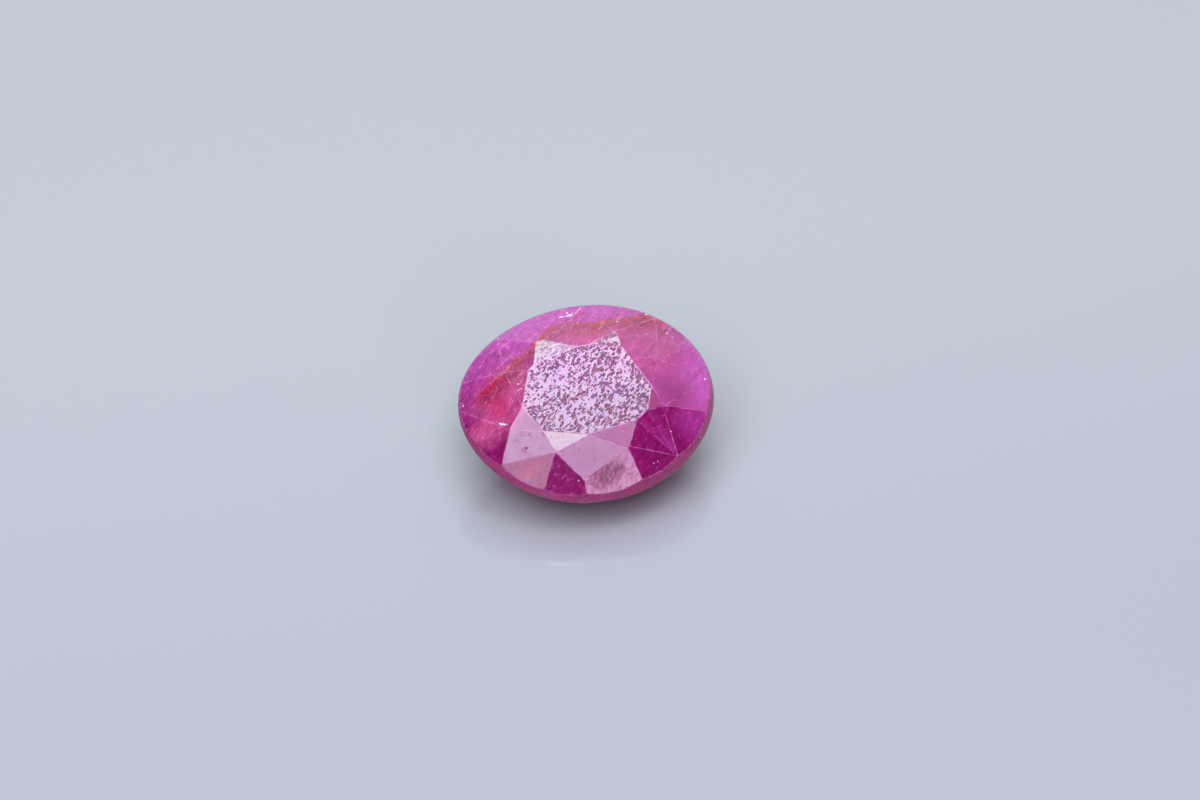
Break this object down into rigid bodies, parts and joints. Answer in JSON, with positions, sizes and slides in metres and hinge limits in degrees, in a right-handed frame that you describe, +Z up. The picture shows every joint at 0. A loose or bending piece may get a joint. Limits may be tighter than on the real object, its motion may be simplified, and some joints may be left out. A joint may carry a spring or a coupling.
{
  "type": "faceted oval ruby gemstone",
  "caption": "Native-cut oval ruby: a small table, an uneven faceted crown, a thick girdle and a stepped pavilion. Cloudy, pink-red, lying on one pavilion facet.",
  "frame": {"origin": "centre of the bounding box's base, on the surface the stone lies on", "axes": "+X along the oval's length, -Y the side the table leans towards, +Z up"},
  "size_m": [0.011, 0.0084, 0.0055],
  "materials": {
    "ruby": "hand-lapped facets, cloudy and translucent, with fine lap marks on the table"
  },
  "bodies": {
    "root": {"ruby": "ruby"}
  },
  "joints": []
}
